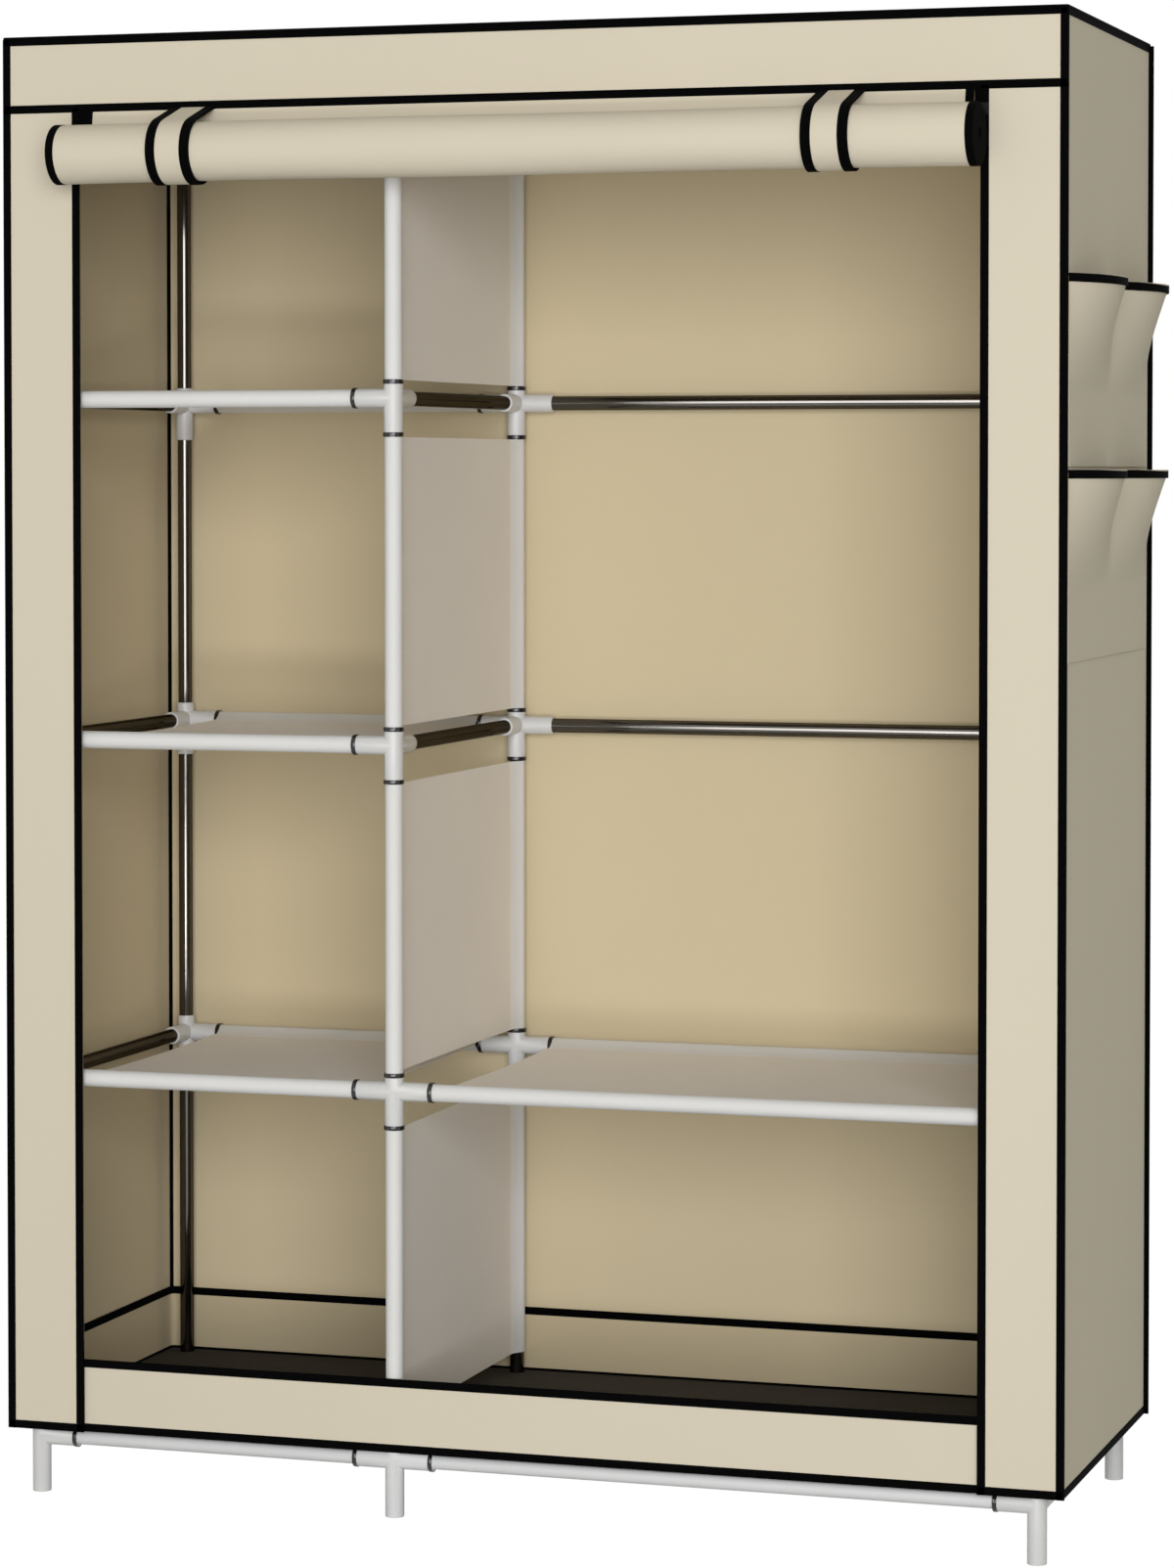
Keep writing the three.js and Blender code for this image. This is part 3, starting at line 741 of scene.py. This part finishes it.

# Floor tray: a dark cloth floor with low cloth walls outside the uprights, bound along their edges
# The floor has six holes for the uprights and lies on the bottom rails. Its front wall is the sill of
# the doorway. The walls are of the cover's cloth, beige outside; inside they are a darker, warmer beige,
# which is painted shade.
tape_width = 0.0088
tape_proud = 0.0012
tape_round = 0.0007
tray_tape_proud = 0.0008
wall_rise = 0.004
sill_inset = 0.001
corner_round = 0.006
cover_room = 0.0021
hem_drop = 0.005
floor_inset = 0.0036
hole_radius = 0.0088
hole_reach = 0.01
inner_below = -0.02


def lit_or_painted_shade_inside(tree, outside, inside):
    """A cloth's outer colour, or a darker, warmer one as painted shade where the surface faces the middle of
    the wardrobe.
    """
    seen_at = tree.nodes.new("ShaderNodeTexCoord")
    level = linked(tree, "ShaderNodeVectorMath", {"label": "level place", "operation": "MULTIPLY"})
    feed(tree, level.inputs[0], seen_at.outputs["Object"])
    feed(tree, level.inputs[1], (1, 1, 0))
    facing = linked(tree, "ShaderNodeVectorMath", {"label": "outward share", "operation": "DOT_PRODUCT"})
    feed(tree, facing.inputs[0], level.outputs[0])
    feed(tree, facing.inputs[1], seen_at.outputs["Normal"])
    mixed = linked(
        tree,
        "ShaderNodeMix",
        {"data_type": "RGBA"},
        Factor=calculated(tree, "LESS_THAN", facing.outputs["Value"], inner_below),
        A=(*outside, 1),
        B=(*inside, 1),
    )
    return mixed.outputs["Result"]


cover_paint, tree, shader = new_paint(
    "beige nonwoven cloth",
    Roughness=0.88,
    Sheen_Weight=0.08,
    Sheen_Roughness=0.6,
    Specular_IOR_Level=0.15,
)
# Faces turned towards the middle of the wardrobe get the darker, warmer beige: painted shade of the interior.
beige_with_painted_shade_inside = lit_or_painted_shade_inside(tree, (0.655, 0.598, 0.490), (0.612, 0.520, 0.350))
tinted(tree, shader, beige_with_painted_shade_inside, spread(tree, noise(tree, 3.0, 4.0, (1, 1, 0.25)), 0.965, 1.03))
coordinates = tree.nodes.new("ShaderNodeTexCoord")
cells = linked(tree, "ShaderNodeTexVoronoi", Vector=coordinates.outputs["Object"], Scale=620.0)
dimples = calculated(tree, "ADD", cells.outputs["Distance"], noise(tree, 1300.0, 3.0))
embossed(tree, shader, dimples, 0.00010, 0.25)
binding_paint, tree, shader = new_paint("black binding tape", Roughness=0.9, Specular_IOR_Level=0.03)
tinted(tree, shader, (0.0012, 0.0012, 0.0013), spread(tree, noise(tree, 200.0), 0.7, 1.3))
embossed(tree, shader, noise(tree, 1600.0, 3.0), 0.00008, 0.5)
floor_cloth, tree, shader = new_paint("dark floor cloth", Roughness=0.85, Specular_IOR_Level=0.08)
tinted(tree, shader, (0.058, 0.052, 0.046), spread(tree, noise(tree, 5.0, 4.0), 0.85, 1.15))
embossed(tree, shader, noise(tree, 1000.0, 3.0), 0.00012, 0.4)

tape_tree, ins, outs = node_tree(
    "bound edge",
    Width=tape_width,
    Thickness=cloth_thickness + 2 * tape_proud,
    Rounding=tape_round,
    Finish=binding_paint,
)
path = linked(tape_tree, "GeometryNodeMeshToCurve", Mesh=ins.outputs[0])
aimed = linked(
    tape_tree,
    "GeometryNodeSetCurveNormal",
    {"mode": "FREE"},
    Curve=path.outputs[0],
    Normal=named_vector(tape_tree, "outward"),
)
section = rounded_section(tape_tree, *(ins.outputs[label] for label in ("Thickness", "Width", "Rounding")))
tape = linked(
    tape_tree,
    "GeometryNodeCurveToMesh",
    Curve=aimed.outputs[0],
    Profile_Curve=section,
    Fill_Caps=True,
)
end_tree(tape_tree, tape.outputs[0], ins, outs)


def bound(name, paths, facing, **sizes):
    """Folded black tape along the edges of a cloth, with the way that the cloth faces at each point."""
    edges = chains("edges", paths, outward=[vector for along_path in facing for vector in along_path])
    piece = grown(name, edges, tape_tree, **sizes)
    piece.data.set_sharp_from_angle(angle=math.radians(50))
    return piece


def rounded_loop(x_low, x_high, y_low, y_high, radius, per_side=24, per_corner=5):
    """Points round a rectangle with rounded corners, from the left end of its back side and back there."""
    centres = [
        (x_low + radius, y_high - radius),
        (x_low + radius, y_low + radius),
        (x_high - radius, y_low + radius),
        (x_high - radius, y_high - radius),
    ]
    loop = []
    for quarter, (x, y) in enumerate(centres, 1):
        for t in evenly(math.pi / 2 * quarter, math.pi / 2 * (quarter + 1), per_corner):
            loop.append((x + radius * math.cos(t), y + radius * math.sin(t)))
    dense = []
    for a, b in zip(loop, loop[1:] + loop[:1]):
        steps = per_side if math.dist(a, b) > radius else 1
        dense += list(zip(evenly(a[0], b[0], steps), evenly(a[1], b[1], steps)))[:-1]
    return dense + dense[:1]


tray_low, tray_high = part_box("base_tray")
tray_high.z += wall_rise
sill_face = tray_low.y + sill_inset
floor_level = tray_low.z + cloth_thickness / 2
hem_level = tray_low.z - hem_drop
wall_loop = rounded_loop(
    tray_low.x + cover_room,
    tray_high.x - cover_room,
    sill_face + cloth_thickness / 2,
    tray_high.y - cover_room,
    corner_round,
)
wall_rows = [[Vector((x, y, z)) for x, y in wall_loop] for z in evenly(hem_level, tray_high.z, 6)]
tray_walls = sheet_of("tray_walls", wall_rows)
settle(tray_walls, cover_paint, ["base_tray"])
slab = bmesh.new()
bmesh.ops.create_cube(slab, size=1)
for v in slab.verts:
    v.co = Vector((
        tray_low.x + floor_inset if v.co.x < 0 else tray_high.x - floor_inset,
        sill_face + floor_inset if v.co.y < 0 else tray_high.y - floor_inset,
        floor_level + math.copysign(cloth_thickness / 2, v.co.z),
    ))
hole_ends = (floor_level - hole_reach, floor_level + hole_reach)
hole_places = [Vector((x, y, 0)) for x in column_x.values() for y in end_y.values()]
tray_floor = one_body("tray_floor", [slab], [plug("z", hole_radius, *hole_ends, p) for p in hole_places])
settle(tray_floor, floor_cloth)


def loop_normals(loop):
    """The level inward direction at each point of a closed loop, whose last point repeats its first."""
    inward = []
    for before, after in zip(loop[-2:-1] + loop, loop[1:] + loop[1:2]):
        along = Vector((after[0] - before[0], after[1] - before[1], 0)).normalized()
        inward.append(Vector((-along.y, along.x, 0)))
    return inward


tape_levels = (tray_high.z - tape_width / 2, hem_level + tape_width / 2)
tray_binding = bound(
    "tray_binding",
    [[Vector((x, y, z)) for x, y in wall_loop] for z in tape_levels],
    [loop_normals(wall_loop)] * 2,
    Thickness=cloth_thickness + 2 * tray_tape_proud,
)
settle(tray_binding, binding_paint)

# Cover: seven panels of beige cloth over the frame, their edges bound in black tape
# Soft nonwoven polypropylene, cut to the frame and sewn edge to edge, so it hangs in shallow waves
# between its seams. The doorway is left open between the two front strips.
panel_spacing = 0.022
box_margin = 0.0015
top_seam = 0.0018
front_seam = 0.0022
header_drop = 0.004
wave_fade = 0.3
tray_clear = 0.10
tray_fade = 0.12
all_sides = ("first", "last", "bottom", "top")

# Which way each panel faces, how deep its waves are, which of its edges have tape of their own, how far
# that tape stands out past a corner seam, and how far the panel is let out past the solid's box
panels = {
    "back": {
        "faces": "+y",
        "waves": 0.0016,
        "seams": {"first": 0.0055, "last": 0.0035, "top": top_seam},
        "let_out": {"bottom": hem_drop},
    },
    "left": {
        "faces": "-x",
        "waves": 0.0014,
        "bound": ("top", "bottom"),
        "seams": {"top": top_seam},
        "let_out": {"bottom": hem_drop},
    },
    "right": {
        "faces": "+x",
        "waves": 0.0014,
        "bound": ("top", "bottom"),
        "seams": {"top": top_seam},
        "let_out": {"bottom": hem_drop},
    },
    "top": {
        "faces": "+z",
        "waves": 0.0012,
        "seams": dict.fromkeys(all_sides, top_seam),
    },
    "header": {
        "faces": "-y",
        "waves": 0.0004,
        "seams": {"first": front_seam, "last": front_seam, "top": top_seam},
        "let_out": {"bottom": header_drop},
    },
    "jamb_left": {
        "faces": "-y",
        "waves": 0.0004,
        "bound": ("first", "last", "bottom"),
        "seams": {"first": front_seam},
        "let_out": {"last": 0.0035, "bottom": hem_drop},
    },
    "jamb_right": {
        "faces": "-y",
        "waves": 0.0004,
        "bound": ("first", "last", "bottom"),
        "seams": {"last": front_seam},
        "let_out": {"first": 0.0045, "bottom": hem_drop},
    },
}


def by_side(name, key):
    """A length for each side of a panel, nought where the table gives none."""
    return {side: panels[name].get(key, {}).get(side, 0) for side in all_sides}


def panel_frame(name):
    """Corner, run, rise and outward direction of a panel's outer face, with its two lengths."""
    low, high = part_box(f"cover_{name}")
    sign, axis = panels[name]["faces"]
    outward = axis_vectors[axis] * (1 if sign == "+" else -1)
    rise = axis_vectors["y" if axis == "z" else "z"]
    run = rise.cross(outward)
    size = high - low
    to_inside = run + rise - outward
    corner = Vector([low[i] if to_inside[i] > 0 else high[i] for i in range(3)]) - outward * box_margin
    more = by_side(name, "let_out")
    corner -= run * more["first"] + rise * more["bottom"]
    width = abs(size.dot(run)) + more["first"] + more["last"]
    return corner, run, rise, outward, width, abs(size.dot(rise)) + more["bottom"]


def wave(x, z, width, height, seed):
    """Depth of a panel's shallow waves from 0 to 1, nought along its edges."""
    edge = min(x, width - x, z, height - z)
    fade = min(1, edge / (wave_fade * min(width, height)))
    fade = fade * fade * (3 - 2 * fade)
    swell = math.sin(9.1 * x + 2.3 * z + seed)
    swell += 0.6 * math.sin(3.7 * z - 12.9 * x + 2.1 * seed)
    swell += 0.5 * math.sin(21 * x + 1.3 * seed)
    return fade * (0.5 + swell / 4.2)


for seed, name in enumerate(panels):
    corner, run, rise, outward, width, height = panel_frame(name)
    columns, levels_up = max(6, round(width / panel_spacing)), max(4, round(height / panel_spacing))
    rows = []
    for z in evenly(0, height, levels_up):
        over_tray = 1 if name == "top" else min(1, max(0, (z - tray_clear) / tray_fade))
        row = []
        for x in evenly(0, width, columns):
            sunk = cloth_thickness / 2 + panels[name]["waves"] * over_tray * wave(x, z, width, height, seed)
            row.append(corner + run * x + rise * z - outward * sunk)
        rows.append(row)
    panel = sheet_of(f"panel_{name}", rows)
    settle(panel, cover_paint, [f"cover_{name}"])
    half = tape_width / 2
    face = corner - outward * (cloth_thickness / 2)
    out = by_side(name, "seams")
    edges = {
        "first": (run * (half - out["first"]), rise * height),
        "last": (run * (width - half + out["last"]), rise * height),
        "bottom": (rise * (half - out["bottom"]), run * width),
        "top": (rise * (height - half + out["top"]), run * width),
    }
    taped = [edges[side] for side in panels[name].get("bound", all_sides)]
    paths = [[face + start, face + start + whole] for start, whole in taped]
    binding = bound(f"binding_{name}", paths, [[outward] * 2] * len(paths))
    settle(binding, binding_paint)

# Side pockets: two rows on the right wall, each one cloth sewn down below and between its pockets
# The same beige cloth. Each mouth is bound in black tape and bows out from the wall.
pocket_bulges = (0.037, 0.0415)
pocket_taper = 0.118
pocket_curve = 1.1
pocket_columns, pocket_levels = 48, 36
mouth_drop = 0.003


def pocket_point(low, high, share, z):
    """A point of a row of two pockets, at a share of its length, bowed out most at the mouth."""
    part = share * 2 % 1 if share < 1 else 1
    bow = 4 * part * (1 - part) * pocket_bulges[share >= 0.5]
    opened = max(0, 1 - (high.z - z) / pocket_taper) ** pocket_curve
    return Vector((low.x + cloth_thickness / 2 + bow * opened, low.y + share * (high.y - low.y), z))


for row in ("upper", "lower"):
    node = f"pocket_row_{row}"
    low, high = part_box(node)
    high.z -= mouth_drop
    rows = [
        [pocket_point(low, high, share, z) for share in evenly(0, 1, pocket_columns)]
        for z in evenly(low.z, high.z, pocket_levels)
    ]
    pocket = sheet_of(f"pockets_{row}", rows)
    settle(pocket, cover_paint, [node])
    tape_level = high.z - tape_width / 2
    mouth = [pocket_point(low, high, share, tape_level) for share in evenly(0, 1, 2 * pocket_columns)]
    facing = []
    for before, after in zip(mouth[:1] + mouth, mouth[1:] + mouth[-1:]):
        along = (after - before).normalized()
        facing.append(Vector((along.y, -along.x, 0)))
    mouth_tape = bound(f"pocket_binding_{row}", [mouth], [facing])
    settle(mouth_tape, binding_paint)

# Door: the cloth of the front, rolled up under the header and held by two straps
# Its sides are bound in black tape, so each end of the roll shows a black band and a black spiral.
# It is sewn to the header's seam above, and its zips close along the doorway.
roll_swell = 0.0014
roll_drop = 0.005
roll_turns = 10.75
roll_pitch = 0.0025
roll_cloth = 0.0011
roll_skin = 0.0006
broad_softness, fine_softness = 0.0005, 0.0003
door_tape = 0.0021
roll_low, roll_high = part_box("door_roll")
roll_radius = (roll_high.z - roll_low.z) / 2 + roll_swell
roll_axis = Vector((0, roll_high.y - roll_radius, (roll_high.z + roll_low.z) / 2 - roll_drop))
sheet_low, sheet_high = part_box("door_sheet")
sheet_head = Vector((0, sheet_high.y - cloth_thickness / 2, sheet_high.z))
seam_y, seam_z = sheet_head.y - roll_axis.y, sheet_head.z - roll_axis.z
leave_angle = math.atan2(seam_z, seam_y) - math.acos(roll_radius / math.hypot(seam_y, seam_z))
sheet_foot = roll_axis + Vector((0, math.cos(leave_angle), math.sin(leave_angle))) * roll_radius


def roll_line(x, steps_per_turn=48):
    """The door's cloth in the roll, from where it leaves the sheet, down the back and round to the core."""
    line = []
    for i in range(round(roll_turns * steps_per_turn) + 1):
        turned_by = i / steps_per_turn
        angle = leave_angle - turned_by * 2 * math.pi
        soft = broad_softness * math.sin(2 * angle + 5 * x) * math.sin(7.3 * x + 1)
        soft += fine_softness * math.sin(3 * angle - 11 * x)
        radius = roll_radius - roll_skin - roll_pitch * turned_by + soft
        line.append(roll_axis + Vector((x, radius * math.cos(angle), radius * math.sin(angle))))
    return line


def sheet_line(x):
    """The door's cloth above the roll, from the header's seam down."""
    return [Vector((x, 0, 0)) + sheet_head.lerp(sheet_foot, share) for share in evenly(0, 1, 12)]


def side_tapes(name, line_at, low, high, width, steps, thickness):
    """The tape along the left and the right side of a cloth that is made of lines across it."""
    tapes = []
    for side, start, end in (("left", low, low + width), ("right", high - width, high)):
        rows = [line_at(x) for x in evenly(start, end, steps)]
        tapes.append(sheet_of(f"{name}_binding_{side}", rows, thickness))
    return tapes


roll_rows = [roll_line(x) for x in evenly(roll_low.x + tape_width, roll_high.x - tape_width, 30)]
door_roll = sheet_of("door_roll_cloth", roll_rows, roll_cloth)
settle(door_roll, cover_paint, ["door_roll"], "door")
roll_tapes = side_tapes("door_roll", roll_line, roll_low.x, roll_high.x, tape_width, 3, door_tape)
for roll_tape in roll_tapes:
    settle(roll_tape, binding_paint, body="door")
length_of(roll_line(0))

sheet_rows = [sheet_line(x) for x in evenly(sheet_low.x + tape_width, sheet_high.x - tape_width, 24)]
door_sheet = sheet_of("door_sheet_cloth", sheet_rows)
sheet_tapes = side_tapes("door_sheet", sheet_line, sheet_low.x, sheet_high.x, tape_width, 3, door_tape)
for sheet_tape in sheet_tapes:
    sheet_tape.data.materials.append(binding_paint)
door_sheet.data.materials.append(cover_paint)
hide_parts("door_sheet")
for piece in [door_sheet] + sheet_tapes:
    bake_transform(piece)

# Straps: two bands that hold the rolled door, sewn into the header's seam and closed under the roll
# Beige cloth bound in black along both sides. Each hangs down the front of the roll and passes under it.
strap_cloth = 0.0012
strap_edge = 0.0105
strap_gap = 0.0009
strap_tape_extra = 0.0014
band_inset = 0.004
seam_tuck = 0.002
behind_header = 0.0012
wrap_angle = math.radians(215)
header_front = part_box("cover_header")[0].y
seam_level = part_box("cover_header")[0].z - header_drop
strap_radius = roll_radius + strap_gap + strap_cloth / 2
strap_y, strap_z = header_front + behind_header - roll_axis.y, seam_level + seam_tuck - roll_axis.z
meets = math.atan2(strap_z, strap_y) % (2 * math.pi) + math.acos(strap_radius / math.hypot(strap_y, strap_z))


def strap_line(x):
    """A strap's middle from the seam, down the front of the roll and under it."""
    angles = evenly(meets, meets + wrap_angle, 40)
    wrap = [(strap_radius * math.cos(t), strap_radius * math.sin(t)) for t in angles]
    drop = list(zip(evenly(strap_y, wrap[0][0], 8), evenly(strap_z, wrap[0][1], 8)))[:-1]
    return [Vector((x, roll_axis.y + y, roll_axis.z + z)) for y, z in drop + wrap]


for name in ("strap_left", "strap_right"):
    low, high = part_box(name)
    band_rows = [strap_line(x) for x in evenly(low.x + band_inset, high.x - band_inset, 10)]
    band = sheet_of(f"{name}_band", band_rows, strap_cloth)
    settle(band, cover_paint, [name])
    tapes = side_tapes(name, strap_line, low.x, high.x, strap_edge, 4, strap_cloth + strap_tape_extra)
    for strap_tape in tapes:
        settle(strap_tape, binding_paint)
    for piece in [band] + tapes:
        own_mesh(piece)

# Zips: a slider at the top of each side of the doorway
# Black enamelled metal with a hanging pull. Above each slider the end of the zip's black tape is sewn
# in behind the header's seam.
tab_above_slider = 0.0006
tab_beside_sheet = 0.0004
tab_behind_header = 0.0016
zip_paint, tree, shader = new_paint("black enamelled zip", Roughness=0.5, Specular_IOR_Level=0.1)
tinted(tree, shader, (0.004, 0.004, 0.004), spread(tree, noise(tree, 300.0), 0.7, 1.3))
embossed(tree, shader, noise(tree, 2500.0), 0.00002, 0.5)
for side in ("left", "right"):
    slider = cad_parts[f"zip_slider_{side}"]
    slider.data.materials.clear()
    slider.data.materials.append(zip_paint)

tab_low, tab_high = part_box("zip_slider_left")[1].z + tab_above_slider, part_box("cover_header")[0].z
tab_face = header_front + tab_behind_header
for side, low, high in (
    ("left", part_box("cover_jamb_left")[1].x, sheet_low.x - tab_beside_sheet),
    ("right", sheet_high.x + tab_beside_sheet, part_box("cover_jamb_right")[0].x),
):
    rows = [[Vector((x, tab_face, z)) for x in evenly(low, high, 2)] for z in evenly(tab_low, tab_high, 3)]
    tab = sheet_of(f"zip_end_{side}", rows)
    settle(tab, binding_paint)
